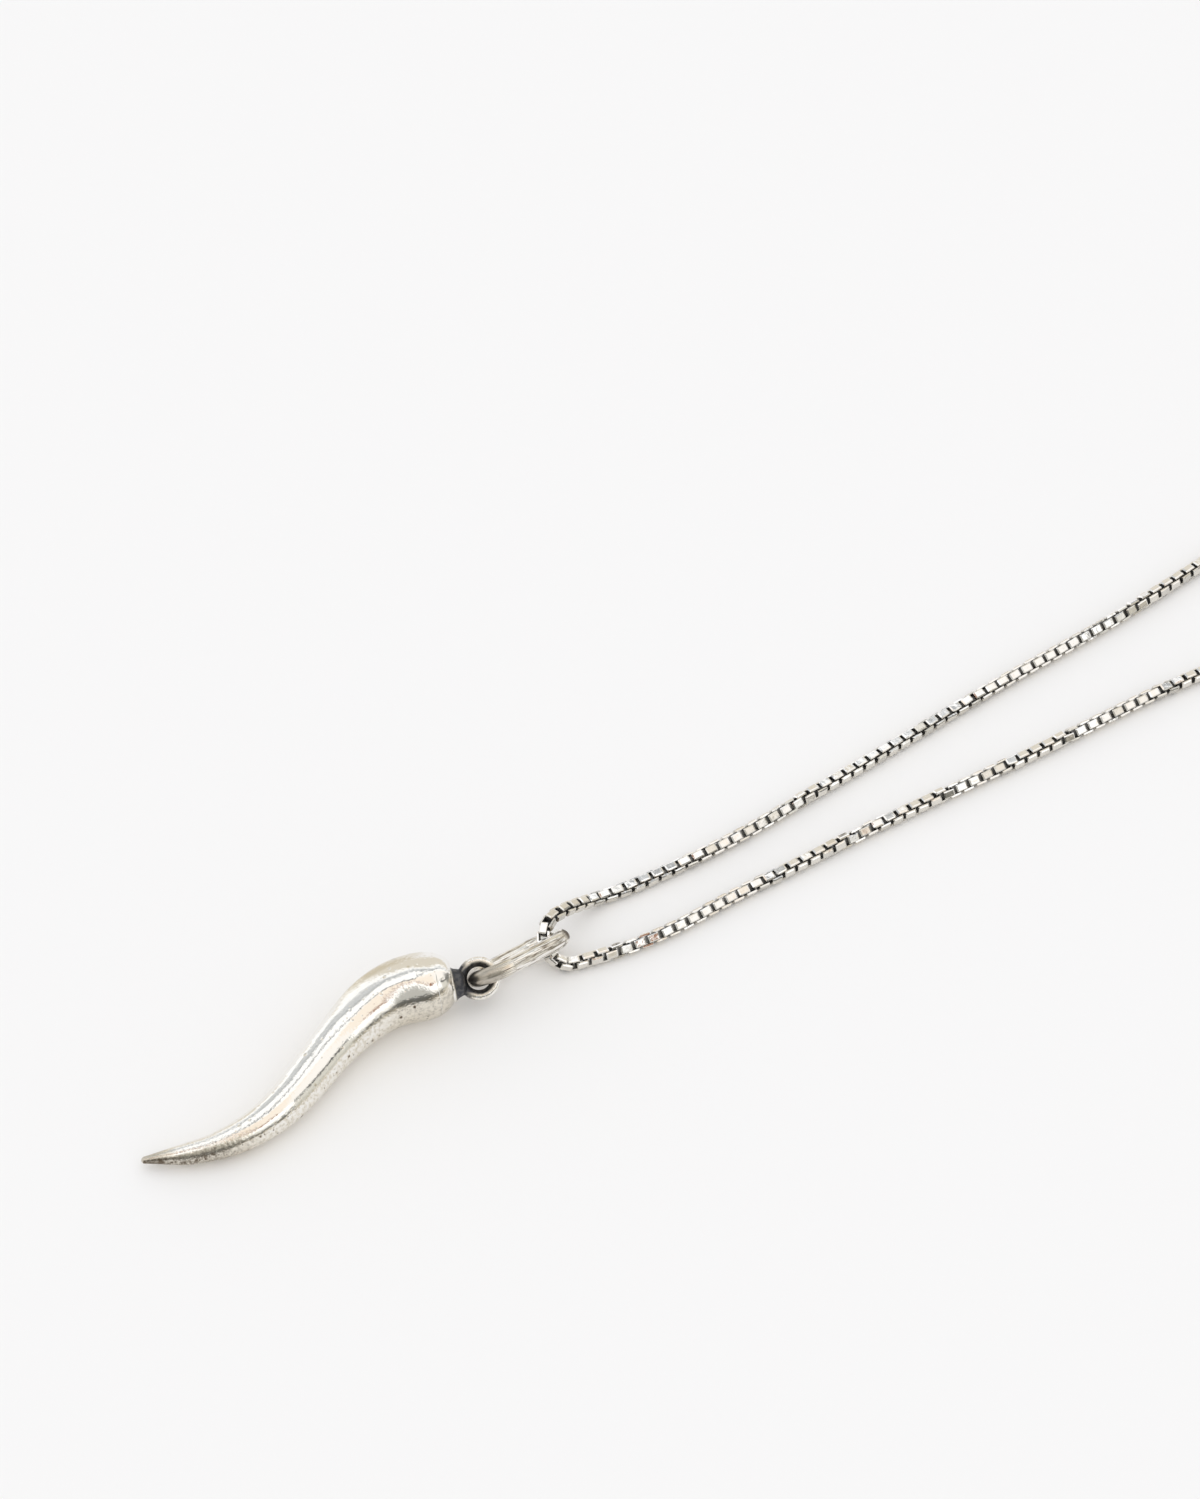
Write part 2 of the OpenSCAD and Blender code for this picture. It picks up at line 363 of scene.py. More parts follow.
def smooth(table, where):
    """Values at the wanted positions, on a smooth curve through rows of [position, values]."""
    table = np.asarray(table, float)
    at, rows = table[:, 0], table[:, 1:]
    lean = slopes(at, rows)
    where = np.atleast_1d(np.asarray(where, float))
    i = np.clip(np.searchsorted(at, where) - 1, 0, len(at) - 2)
    span = (at[i + 1] - at[i])[:, None]
    f = (where - at[i])[:, None] / span
    start = rows[i] * (2 * f**3 - 3 * f**2 + 1) + lean[i] * span * (f**3 - 2 * f**2 + f)
    end = rows[i + 1] * (3 * f**2 - 2 * f**3) + lean[i + 1] * span * (f**3 - f**2)
    return (start + end).squeeze()


def walked(points):
    """Distance walked to each point."""
    steps = np.linalg.norm(np.diff(points, axis=0), axis=1)
    return np.concatenate([[0], np.cumsum(steps)])


def aim(heading, climb):
    """Unit vector with a heading from +X and a climb, in degrees."""
    heading, climb = np.broadcast_arrays(np.radians(heading), np.radians(climb))
    level = np.cos(climb)
    return np.stack([np.cos(heading) * level, np.sin(heading) * level, np.sin(climb)], -1)


def eased(number):
    """The number held between 0 and 1, with a soft start and a soft end."""
    number = np.clip(number, 0, 1)
    return number**2 * (3 - 2 * number)


# %% [markdown]
# ## Paths and finished pieces
#
# Each piece of wire or casting starts as a path, which is a curve object with a thickness at
# every point. All paths are in millimetres, because Blender's tools work best near that size.
# `plain_mesh` turns what a modifier made into a plain mesh, still in millimetres, and
# `finish_piece` scales it to metres and puts it on the body that carries it.

# %% Make paths and plain meshes
def path_object(name, points, radius, closed=False, tilt=None):
    """Curve object through the points, with a radius and a tilt at each."""
    curve = bpy.data.curves.new(name, "CURVE")
    curve.dimensions = "3D"
    curve.twist_mode = "Z_UP" if tilt is not None else "MINIMUM"
    spline = curve.splines.new("POLY")
    spline.points.add(len(points) - 1)
    spline.points.foreach_set("co", np.hstack([points, np.ones((len(points), 1))]).ravel())
    spline.points.foreach_set("radius", np.broadcast_to(radius, len(points)).astype(np.float32))
    if tilt is not None:
        spline.points.foreach_set("tilt", np.asarray(tilt, np.float32))
    spline.use_cyclic_u = closed
    made = bpy.data.objects.new(name, curve)
    bpy.context.scene.collection.objects.link(made)
    return made


def plain_mesh(source, name):
    """Plain mesh object, in millimetres, of what the modifiers of the source make."""
    seen_by = bpy.context.evaluated_depsgraph_get()
    mesh = bpy.data.meshes.new_from_object(source.evaluated_get(seen_by), depsgraph=seen_by)
    bpy.data.objects.remove(source)
    mesh.name = name
    made = bpy.data.objects.new(name, mesh)
    bpy.context.scene.collection.objects.link(made)
    return made


def finish_piece(piece, node, sharp=None):
    """Scales the piece to metres, turns its faces outwards and puts it in the model."""
    piece.data.transform(Matrix.Scale(MM, 4))
    tidy = bmesh.new()
    tidy.from_mesh(piece.data)
    bmesh.ops.recalc_face_normals(tidy, faces=tidy.faces)
    tidy.to_mesh(piece.data)
    tidy.free()
    piece.data.shade_smooth()
    if sharp is not None:
        piece.data.set_sharp_from_angle(angle=math.radians(sharp))
    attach(piece, "root")
    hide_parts(node)
    triangles = sum(len(face.vertices) - 2 for face in piece.data.polygons)
    print(piece.name, "has", triangles, "triangles and stands for the solid", node)


# %% [markdown]
# ## A tree that sweeps wire
#
# A horn, a bail and a loop follow one rule: a round section is carried along a path and grows or
# shrinks on the way. Geometry Nodes do this with Curve to Mesh. The tree also gives the metal
# the slight unevenness of a real casting, in two sizes, because a perfect tube reflects bands
# that are too straight. It keeps three attributes for the finish: `along` is the distance along
# the path, `around` the place on the round section, as a vector so that it has no seam, and
# `outward` the way that the smooth wire faces.

# %% Build the sweeping tree
def new_tree(name, sockets):
    """Geometry tree with a geometry in, named inputs and a geometry out."""
    tree = bpy.data.node_groups.new(name, "GeometryNodeTree")
    tree.interface.new_socket("Geometry", in_out="INPUT", socket_type="NodeSocketGeometry")
    for label, kind in sockets:
        tree.interface.new_socket(label, in_out="INPUT", socket_type=f"NodeSocket{kind}")
    tree.interface.new_socket("Geometry", in_out="OUTPUT", socket_type="NodeSocketGeometry")
    graph = Graph(tree)
    start = tree.nodes.new("NodeGroupInput")
    given = {socket.name: Value(graph, socket) for socket in start.outputs if socket.name}
    return graph, given


def end_tree(graph, shape, material):
    """Ends a tree the way the export needs: real faces, then the material."""
    shape = graph.node("GeometryNodeRealizeInstances", inputs={0: shape})
    shape = graph.node("GeometryNodeSetMaterial", inputs={0: shape, "Material": material})
    end = graph.tree.nodes.new("NodeGroupOutput")
    graph.tree.links.new(shape.socket, end.inputs[0])


def run_tree(piece, graph, values):
    """Adds the tree to the piece and sets its inputs by the identifiers of their sockets."""
    modifier = piece.modifiers.new(graph.tree.name, "NODES")
    modifier.node_group = graph.tree
    for item in graph.tree.interface.items_tree:
        if item.in_out == "INPUT" and item.name in values:
            modifier[item.identifier] = values[item.name]


sweep, given = new_tree("sweep wire", [
    ("Sides", "Int"),
    ("Dent height", "Float"),
    ("Dent length", "Float"),
    ("Ripple height", "Float"),
    ("Ripple length", "Float"),
    ("Seed", "Float"),
    ("Closed", "Bool"),
    ("Material", "Material"),
])
section = sweep.node(
    "GeometryNodeCurvePrimitiveCircle", inputs={"Resolution": given["Sides"], "Radius": 1.0}
)
section = sweep.node(
    "GeometryNodeStoreNamedAttribute",
    {"data_type": "FLOAT_VECTOR"},
    {0: section, "Name": "around", "Value": sweep.node("GeometryNodeInputPosition")},
)
distance = sweep.node("GeometryNodeSplineParameter", output="Length")
line = sweep.node(
    "GeometryNodeStoreNamedAttribute", inputs={0: given["Geometry"], "Name": "along", "Value": distance}
)
thickness = sweep.node("GeometryNodeInputRadius")
capped = sweep.node("FunctionNodeBooleanMath", {"operation": "NOT"}, {0: given["Closed"]})
shape = sweep.node(
    "GeometryNodeCurveToMesh",
    inputs={"Curve": line, "Profile Curve": section, "Scale": thickness, "Fill Caps": capped},
)
outward = sweep.node("GeometryNodeInputNormal")
height = 0
for size in ("Dent", "Ripple"):
    noise = sweep.node(
        "ShaderNodeTexNoise",
        {"noise_dimensions": "4D"},
        {"W": given["Seed"], "Scale": 1 / given[f"{size} length"], "Detail": 1.0},
    )
    height = (noise - 0.5) * given[f"{size} height"] + height
shape = sweep.node(
    "GeometryNodeStoreNamedAttribute",
    {"data_type": "FLOAT_VECTOR"},
    {0: shape, "Name": "outward", "Value": outward},
)
offset = sweep.node("ShaderNodeVectorMath", {"operation": "SCALE"}, {0: outward, "Scale": height})
shape = sweep.node("GeometryNodeSetPosition", inputs={0: shape, "Offset": offset})
end_tree(sweep, shape, given["Material"])
print("sweeping tree with", len(sweep.tree.nodes), "nodes")

# %% [markdown]
# ## Silver
#
# Silver is a bright metal with a trace of warmth, and it tarnishes where no finger or cloth
# rubs it: in pits, in creases and round solder. It turns yellow first and then dark. One
# function makes all its finishes. The wear of a piece is a number from 0, polished, to 1, dark,
# and it changes the colour and roughens the surface together. On some pieces that number also
# carries painted shade and painted reflections: colour made darker where only light and shade
# make the real metal dark. The big dents are in the meshes, so the relief adds only what is
# finer: the soft mottling that casting leaves, the lines that a drawing die leaves and small pits.

# %% Mix the silver
POLISHED = (0.93, 0.915, 0.885)
FILM = (0.80, 0.755, 0.665)
FILM_AT = 0.2
TARNISHED = (0.16, 0.145, 0.13)


def silver(name, polished=POLISHED, film_and_shade=FILM, tarnish_and_shade=TARNISHED, gloss=0.07, wear_and_shade=None, relief=None):
    """Silver with its wear and painted shade, and its relief: functions that add nodes to the graph."""
    material = bpy.data.materials.new(name)
    material.use_nodes = True
    graph = Graph(material.node_tree)
    shader = material.node_tree.nodes["Principled BSDF"]
    shader.inputs["Metallic"].default_value = 1
    place = graph.node("ShaderNodeTexCoord", output="Object")
    # Wear, and on some pieces painted shade and painted reflections, from 0 to 1
    dark = wear_and_shade(graph, place)
    colour = graph.node(
        "ShaderNodeValToRGB", {"stops": [(0, polished), (FILM_AT, film_and_shade), (1, tarnish_and_shade)]}, {0: dark}
    )
    material.node_tree.links.new(colour.socket, shader.inputs["Base Color"])
    rough = dark * 0.35 + gloss
    material.node_tree.links.new(rough.socket, shader.inputs["Roughness"])
    height = relief(graph, place)
    bump = graph.node("ShaderNodeBump", inputs={"Height": height, "Distance": MM, "Strength": 1.0})
    material.node_tree.links.new(bump.socket, shader.inputs["Normal"])
    return material


def speckle(graph, place, size, detail=2.0, roughness=0.5):
    """Noise from 0 to 1 with blots of a size in millimetres."""
    inputs = {"Vector": place, "Scale": 1 / (size * MM), "Detail": detail, "Roughness": roughness}
    return graph.node("ShaderNodeTexNoise", inputs=inputs)


def pits(graph, place, spacing, size, share):
    """1 in the middle of small round pits, of which only a share of the places has one."""
    inputs = {"Vector": place, "Scale": 1 / (spacing * MM)}
    distance = graph.node("ShaderNodeTexVoronoi", inputs=inputs)
    colour = Value(graph, distance.socket.node.outputs["Color"])
    chance = graph.node("ShaderNodeSeparateColor", inputs={0: colour})
    radius = size / spacing
    round_pit = 1 - graph.smooth_step(distance, 0.3 * radius, radius)
    return round_pit * graph.math("LESS_THAN", chance, share)


def attribute(graph, name, output="Fac"):
    """A value that a piece keeps at each of its points."""
    return graph.node("ShaderNodeAttribute", {"attribute_name": name}, output=output)


def side_on(graph, way):
    """How much the surface of a swept piece faces a direction, from -1 to 1."""
    return dot(graph, attribute(graph, "outward", "Vector"), way)


def wire_noise(graph, round_it, along_it, shift=0.0, detail=2.0, roughness=0.5):
    """Noise on a swept piece, with one scale round the wire and another along it."""
    stretched = graph.node(
        "ShaderNodeCombineXYZ", inputs={2: attribute(graph, "along") * along_it + shift}
    )
    stretched = graph.node(
        "ShaderNodeVectorMath",
        {"operation": "MULTIPLY_ADD"},
        {0: attribute(graph, "around", "Vector"), 1: (round_it,) * 3, 2: stretched},
    )
    inputs = {"Vector": stretched, "Scale": 1.0, "Detail": detail, "Roughness": roughness}
    return graph.node("ShaderNodeTexNoise", inputs=inputs)


def along_way(graph, place, start, way):
    """Distance in millimetres from a point of the model along a direction."""
    offset = graph.node(
        "ShaderNodeVectorMath", {"operation": "SUBTRACT"}, {0: place, 1: Vector(start) * MM}
    )
    return dot(graph, offset, Vector(way)) / MM


# %% [markdown]
# ## The horn
#
# The horn was modelled in wax and cast, then polished. It tapers from a round head to a blunt
# tip and swings left and right on the way, lying on the table on two places of its underside.
# Its middle line is walked in short steps whose heading comes from a table, the same one that
# the solid uses, and a second table gives the thickness.

# %% Walk the horn's middle line
HORN_LENGTH = 29
HORN_RADIUS = 2.5
TIP_RADIUS = 0.225
CAP_RADIUS = 1.3
CAP_LEDGE = 0.1
DOME_POWER = 2.5
HORN_BENDS = [
    [0, -26], [0.1, -24], [0.2, -12], [0.32, 5], [0.44, 20],
    [0.56, 24], [0.68, 19], [0.8, 4], [0.9, -20], [1, -20],
]
HORN_SWELL = [
    [0, 0], [0.05, 0.11], [0.11, 0.25], [0.18, 0.34], [0.25, 0.43], [0.32, 0.5], [0.38, 0.56],
    [0.45, 0.61], [0.52, 0.65], [0.6, 0.69], [0.67, 0.755], [0.74, 0.84], [0.81, 0.92],
    [0.87, 0.98], [0.905, 1],
]
REST_SHARES = np.array([0.35, 0.885])
WALK_STEPS = 96

dome_start = HORN_SWELL[-1][0]
dome_reach = (1 - ((CAP_RADIUS + CAP_LEDGE) / HORN_RADIUS) ** DOME_POWER) ** (1 / DOME_POWER)


def horn_radius(share):
    """Thickness of the horn as a radius, at shares of its length."""
    share = np.asarray(share, float)
    body = TIP_RADIUS + (HORN_RADIUS - TIP_RADIUS) * smooth(HORN_SWELL, np.minimum(share, dome_start))
    over = np.clip(dome_reach * (share - dome_start) / (1 - dome_start), 0, 1)
    dome = HORN_RADIUS * (1 - over**DOME_POWER) ** (1 / DOME_POWER)
    into_tip = np.clip(share * HORN_LENGTH / TIP_RADIUS, 0, 1)
    return np.where(share > dome_start, dome, body) * np.sqrt(1 - (1 - into_tip) ** 2)


rest_radii = horn_radius(REST_SHARES)
horn_climb = math.degrees(math.asin(np.diff(rest_radii)[0] / (HORN_LENGTH * np.diff(REST_SHARES)[0])))
headings = smooth(HORN_BENDS, (np.arange(WALK_STEPS) + 0.5) / WALK_STEPS)
steps = HORN_LENGTH / WALK_STEPS * aim(headings, horn_climb)
horn_walk = np.column_stack([
    np.linspace(0, 1, WALK_STEPS + 1),
    np.concatenate([np.zeros((1, 3)), np.cumsum(steps, axis=0)]),
])
print("horn climbs", round(horn_climb, 3), "degrees")
print("its head is", horn_walk[-1, 1:].round(3), "mm from its tip")

# %% [markdown]
# The rings stand close together where the thickness changes fast: at the rounding of the tip
# and over the dome of the head. The reach of the plain horn tells where it must go: its lowest
# corner is put on the lowest corner of the solid. Then the line is nudged sideways by a fifth
# of a millimetre and the head swells by a tenth, to follow the real casting more closely.

# %% Place the horn
TIP_RINGS = 8
TIP_START = 0.03
BODY_RINGS = 400
DOME_RINGS = 84
HORN_SIDES = 160
BODY_NUDGE = np.array([0.09, 0.21, 0])
NUDGE_LOSS = 0.4
NUDGE_LOSS_FROM = 0.96
HEAD_SWELL = 0.12
HEAD_SHARES = (0.62, 0.85)
HEAD_SHIFT = np.array([0.03, 0.05, HEAD_SWELL])

tip_turns = np.linspace(TIP_START, 1, TIP_RINGS) * math.pi / 2
tip_shares = TIP_RADIUS / HORN_LENGTH * (1 - np.cos(tip_turns))
body_shares = np.linspace(tip_shares[-1], dome_start, BODY_RINGS + 1)[1:]
dome_turns = np.linspace(0, math.pi / 2, DOME_RINGS + 1)[1:]
dome_shares = dome_start + (1 - dome_start) * np.sin(dome_turns)
horn_shares = np.concatenate([tip_shares, body_shares, dome_shares])
horn_line = smooth(horn_walk, horn_shares)
horn_radii = horn_radius(horn_shares)

tangents = np.gradient(horn_line, axis=0)
tangents /= np.linalg.norm(tangents, axis=1)[:, None]
reach = horn_radii[:, None] * np.sqrt(np.maximum(0, 1 - tangents**2))
horn_box = [np.array(corner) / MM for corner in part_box("horn")]
horn_line += horn_box[0] - (horn_line - reach).min(axis=0)
head_at = horn_line[-1].copy()
at_cap = np.clip((horn_shares - NUDGE_LOSS_FROM) / (1 - NUDGE_LOSS_FROM), 0, 1)
horn_line += BODY_NUDGE * (1 - NUDGE_LOSS * at_cap[:, None])
fuller = eased((horn_shares - HEAD_SHARES[0]) / (HEAD_SHARES[1] - HEAD_SHARES[0]))
horn_radii = horn_radii + HEAD_SWELL * fuller
horn_line += fuller[:, None] * HEAD_SHIFT
head_heading = HORN_BENDS[-1][1]
head_aim = aim(head_heading, horn_climb)
print("tip at", horn_line[0].round(3), "head at", head_at.round(3))

# %% [markdown]
# The casting was tumbled bright, but not everywhere: its near side, low down, kept a blotchy
# film and the fine pits of the mould. That side is also darkened as painted shade, most on the
# head, for the shadowed table that it mirrors. The near side of the tip is brown and mottled,
# the very tip is dark, and the far upper rim is beige, more so towards the head. `side_on`
# finds such a side, and the distance along the horn finds the tip.

# %% Wear the horn
def horn_wear_and_shade(graph, place):
    """Brown mottling near the tip, a beige far rim, and a film and pits on the near side, with painted
    shade there.
    """
    along = attribute(graph, "along")
    near = graph.smooth_step(side_on(graph, (0, -1, 0)), 0.72, 0.88)
    marks = wire_noise(graph, 1.6, 4, detail=4.0, roughness=0.65)
    tip = 1 - graph.smooth_step(along, 4.5, 10)
    tip = tip * graph.smooth_step(side_on(graph, (0, -1, 0)), 0.33, 0.62)
    very_tip = 1 - graph.smooth_step(along, 1, 3)
    brown = tip * (graph.smooth_step(marks, 0.4, 0.62) * 0.5 + 0.25) + very_tip * 0.45
    head_painted_shade = graph.smooth_step(along, 20, 26)
    rim = graph.smooth_step(side_on(graph, (0, 0.77, 0.64)), 0.89, 0.97)
    rim = rim * (graph.smooth_step(along, 15, 21) * 0.14 + 0.06)
    blots = graph.smooth_step(speckle(graph, place, 0.28, 4.0, 0.7), 0.42, 0.68)
    specks = pits(graph, place, 0.9, 0.18, 0.45) + pits(graph, place, 0.37, 0.08, 0.3)
    # Near side: partly real blots of film, partly painted shade for the shadowed table it mirrors, most
    # on the head
    film_and_shade = near * (blots * 0.36 + 0.02 + head_painted_shade * 0.2)
    return graph.math("MINIMUM", brown + rim + film_and_shade + specks * (near * 0.85 + 0.2), 1)


def horn_relief(graph, place):
    """Soft mottling, stronger where the polish stopped, and pits, in millimetres."""
    near = graph.smooth_step(side_on(graph, (0, -1, 0)), 0.76, 0.9)
    tip = 1 - graph.smooth_step(attribute(graph, "along"), 5, 9)
    mottling = speckle(graph, place, 0.35, 3.0, 0.6) * (tip * 0.025 + 0.018)
    grain = speckle(graph, place, 0.17, 2.0, 0.6) * (near * 0.016 + tip * 0.010 + 0.006)
    holes = pits(graph, place, 0.9, 0.19, 0.35) + pits(graph, place, 0.37, 0.09, 0.25) * 0.5
    return mottling + grain - holes * 0.03


horn_silver = silver(
    "horn silver", tarnish_and_shade=(0.17, 0.135, 0.10), gloss=0.045, wear_and_shade=horn_wear_and_shade, relief=horn_relief
)
print("horn silver with", len(horn_silver.node_tree.nodes), "nodes")

# %% [markdown]
# The casting is not perfect either: it has shallow dents some millimetres long and a fine
# ripple. They are small, but they bend the reflected bands as on the real horn.

# %% Sweep the horn
line = path_object("horn line", horn_line, horn_radii)
run_tree(line, sweep, {
    "Sides": HORN_SIDES,
    "Dent height": 0.07,
    "Dent length": 2.2,
    "Ripple height": 0.008,
    "Ripple length": 0.5,
    "Seed": 3.0,
    "Closed": False,
    "Material": horn_silver,
})
horn = plain_mesh(line, "horn_body")

# %% [markdown]
# The head isn't quite round. Its far side is a little flat, as if the wax had been pressed
# against a board, so a broad band of the far side of the tent shows there. The corners between
# the crown and the far side move inwards, most of all midway.

# %% Flatten the head
CROWN_WAY = np.array([0, -0.643, 0.766])
FAR_WAY = np.array([0, 0.766, 0.643])
CROWN_EDGE = 0.906
FLATTENING = 0.42
FLAT_SHARES = [0.62, 0.79, 0.93, 1]


def column(items, name, width):
    """One property of many items, as rows of numbers."""
    numbers = np.empty(len(items) * width)
    items.foreach_get(name, numbers)
    return numbers.reshape(-1, width)


corners = column(horn.data.vertices, "co", 3)
outward = column(horn.data.attributes["outward"].data, "vector", 3)
along = column(horn.data.attributes["along"].data, "value", 1)[:, 0]
facing = np.clip(outward @ CROWN_WAY, 0, CROWN_EDGE)
flatness = eased(np.interp(along / HORN_LENGTH, FLAT_SHARES, [0, 1, 1, 0]))
inwards = FLATTENING * HORN_RADIUS * flatness * (CROWN_EDGE - facing) * facing
inwards *= outward @ FAR_WAY > 0
corners -= outward * inwards[:, None]
horn.data.vertices.foreach_set("co", corners.ravel())
print("head flattened by up to", round(inwards.max(), 3), "mm")
finish_piece(horn, "horn")

# %% [markdown]
# ## Cap and loop
#
# A jeweller solders a small cap with a loop on the head. The solder fills the corners, so the
# parts flow into each other. Here the cap is a turned shape and the loop a bent wire. A thin
# dark hoop lies along the inside of the loop, a little below its middle: it is painted shade, a
# dark thing that fills the shaded hole of the loop. A voxel remesh fuses all three, and
# smoothing afterwards leaves the fillets that solder leaves.

# %% Size the cap and the loop
LOOP_WIRE = 0.68
LOOP_PLAY = 0.36
LOOP_SINK = 0.25
LOOP_ROLL = 35
CAP_LENGTH = 0.9
BAIL_WIRE = 1.25
loop_radius = BAIL_WIRE / 2 + LOOP_PLAY + LOOP_WIRE / 2
loop_reach = CAP_LENGTH + loop_radius - LOOP_SINK * LOOP_WIRE
loop_at = head_at + loop_reach * head_aim
CAP_PROFILE = [
    (-0.45, 0.9), (-0.45, 1.25), (-0.12, 1.42), (0.02, 1.38), (0.14, 1.24), (0.3, 1.14),
    (0.5, 1.08), (0.72, 1.0), (0.92, 0.8), (1.0, 0.4),
]
SHADE_HOOP_WIRE = 0.28
SHADE_HOOP_INSET = 0.31
SHADE_HOOP_DROP = 0.12
print("loop at", loop_at.round(3), "with a radius of", loop_radius)

# %% [markdown]
# Three helpers make meshes from rings of points: one turns a profile, one bends a hoop, and
# one puts a skin over such rings.

# %% Turn, bend and join
def turned(rows, sides):
    """Mesh rings of a shape turned about the X axis, from rows of (x, radius)."""
    turn = np.arange(sides) * 2 * math.pi / sides
    return [
        np.column_stack([np.full(sides, x), radius * np.cos(turn), radius * np.sin(turn)])
        for x, radius in rows
    ]


def hoop(radius, wire, turns, sides):
    """Mesh rings of a closed hoop of round wire that lies in the XY plane."""
    turn = np.arange(sides) * 2 * math.pi / sides
    rings = []
    for way in np.arange(turns) * 2 * math.pi / turns:
        out = radius + wire * np.cos(turn)
        rings.append(np.column_stack([out * math.cos(way), out * math.sin(way), wire * np.sin(turn)]))
    return rings


def skin(name, rings, closed):
    """Mesh data through rings of points, joined to a hoop or closed at both ends."""
    sides = len(rings[0])
    faces = []
    for i in range(len(rings) - (0 if closed else 1)):
        j = (i + 1) % len(rings)
        for k in range(sides):
            beside = (k + 1) % sides
            faces.append([i * sides + k, j * sides + k, j * sides + beside, i * sides + beside])
    if not closed:
        faces.append(list(range(sides))[::-1])
        faces.append([(len(rings) - 1) * sides + k for k in range(sides)])
    mesh = bpy.data.meshes.new(name)
    mesh.from_pydata(np.concatenate(rings).tolist(), [], faces)
    return mesh


def join(name, meshes):
    """One mesh object with the faces of several meshes."""
    joined = bmesh.new()
    for mesh in meshes:
        joined.from_mesh(mesh)
    bmesh.ops.recalc_face_normals(joined, faces=joined.faces)
    whole = bpy.data.meshes.new(name)
    joined.to_mesh(whole)
    joined.free()
    made = bpy.data.objects.new(name, whole)
    bpy.context.scene.collection.objects.link(made)
    return made


# %% Fuse the cap and the loop
FUSE_VOXEL = 0.035

cap_mesh = skin("cap", turned(CAP_PROFILE, 64), False)
loop_mesh = skin("loop", hoop(loop_radius, LOOP_WIRE / 2, 120, 40), True)
# A dark hoop inside the loop: painted shade that fills the loop's shaded hole
shade_hoop_mesh = skin("solder", hoop(loop_radius - SHADE_HOOP_INSET, SHADE_HOOP_WIRE / 2, 96, 24), True)
shade_hoop_mesh.transform(Matrix.Translation((0, 0, -SHADE_HOOP_DROP)))
for mesh in (loop_mesh, shade_hoop_mesh):
    mesh.transform(Matrix.Rotation(math.radians(LOOP_ROLL), 4, "X"))
    mesh.transform(Matrix.Translation((loop_reach, 0, 0)))
fitting = join("horn_loop", [cap_mesh, loop_mesh, shade_hoop_mesh])
fuse = fitting.modifiers.new("fuse", "REMESH")
fuse.mode = "VOXEL"
fuse.voxel_size = FUSE_VOXEL
soften = fitting.modifiers.new("soften", "SMOOTH")
soften.factor = 0.5
soften.iterations = 10
fitting = plain_mesh(fitting, "horn_loop")
fitting.data.transform(
    Matrix.Translation(Vector(head_at))
    @ Matrix.Rotation(math.radians(head_heading), 4, "Z")
    @ Matrix.Rotation(math.radians(-horn_climb), 4, "Y")
)

# %% [markdown]
# The solder is nearly black on the cap and clears to silver round the outside. Inside the loop
# the silver is darkened as painted shade, where its hole is shaded.

# %% Finish the fitting
def fitting_wear_and_shade(graph, place):
    """Dark solder on the cap, which clears towards the far side of the loop, and painted shade inside
    the loop.
    """
    depth = along_way(graph, place, head_at, head_aim)
    solder = 1 - graph.smooth_step(depth, 0.75, 1.6)
    edge = graph.smooth_step(depth, -0.05, 0.15)
    blots = graph.smooth_step(speckle(graph, place, 0.35, 4.0, 0.6), 0.45, 0.7)
    from_middle = graph.node(
        "ShaderNodeVectorMath",
        {"operation": "DISTANCE"},
        {0: place, 1: Vector(loop_at) * MM},
        output="Value",
    ) / MM
    # Painted shade inside the loop's hole
    painted_loop_shade = 1 - graph.smooth_step(from_middle, loop_radius - 0.2, loop_radius + 0.12)
    return graph.math("MINIMUM", solder * edge * 0.95 + painted_loop_shade * 0.95 + blots * 0.3, 1)


def fitting_relief(graph, place):
    """Small folds and grains of solder, in millimetres."""
    return speckle(graph, place, 0.25, 3.0, 0.6) * 0.03


fitting_silver = silver(
    "soldered silver",
    tarnish_and_shade=(0.075, 0.078, 0.088),
    gloss=0.14,
    wear_and_shade=fitting_wear_and_shade,
    relief=fitting_relief,
)
fitting.data.materials.clear()
fitting.data.materials.append(fitting_silver)
finish_piece(fitting, "horn")

# %% [markdown]
# ## Bail
#
# The bail is a long oval ring of round wire. The loop of the horn hangs on one end and the
# chain passes through the other, and it leans because its far end rests on the table. Its path
# is two straight sides and two half circles, swept by the same tree as the horn.

# %% Bend the bail
BAIL_LENGTH = 9
BAIL_PLAY = 0.9
BAIL_LEAN = 48
BAIL_TURN = 5
CHAIN_WIDTH = 1
PULL_GAP = 0.15
BAIL_POINTS = 420
TABLE_GAP = 0.02
bail_radius = CHAIN_WIDTH / 2 + BAIL_PLAY + BAIL_WIRE / 2
bail_straight = BAIL_LENGTH - 2 * bail_radius - BAIL_WIRE
bail_box = [np.array(corner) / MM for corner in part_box("bail")]
bail_middle = (bail_box[0] + bail_box[1]) / 2
past_rest = (1 - REST_SHARES[1]) * HORN_LENGTH + loop_reach
near_end_z = TABLE_GAP + rest_radii[1] + past_rest * math.sin(math.radians(horn_climb))
far_end_z = TABLE_GAP + bail_radius * math.sin(math.radians(BAIL_LEAN)) + BAIL_WIRE / 2
bail_climb = math.degrees(math.asin((near_end_z - far_end_z) / (bail_straight + bail_radius)))


def oval(straight, radius, count):
    """Points round a flat oval about the origin, long in X."""
    whole = 2 * straight + 2 * math.pi * radius
    points = []
    for d in np.arange(count) / count * whole:
        if d < straight:
            points.append((straight / 2 - d, radius, 0))
            continue
        d -= straight
        if d < math.pi * radius:
            turn = math.pi / 2 + d / radius
            points.append((-straight / 2 + radius * math.cos(turn), radius * math.sin(turn), 0))
            continue
        d -= math.pi * radius
        if d < straight:
            points.append((-straight / 2 + d, -radius, 0))
            continue
        turn = -math.pi / 2 + (d - straight) / radius
        points.append((straight / 2 + radius * math.cos(turn), radius * math.sin(turn), 0))
    return np.array(points)


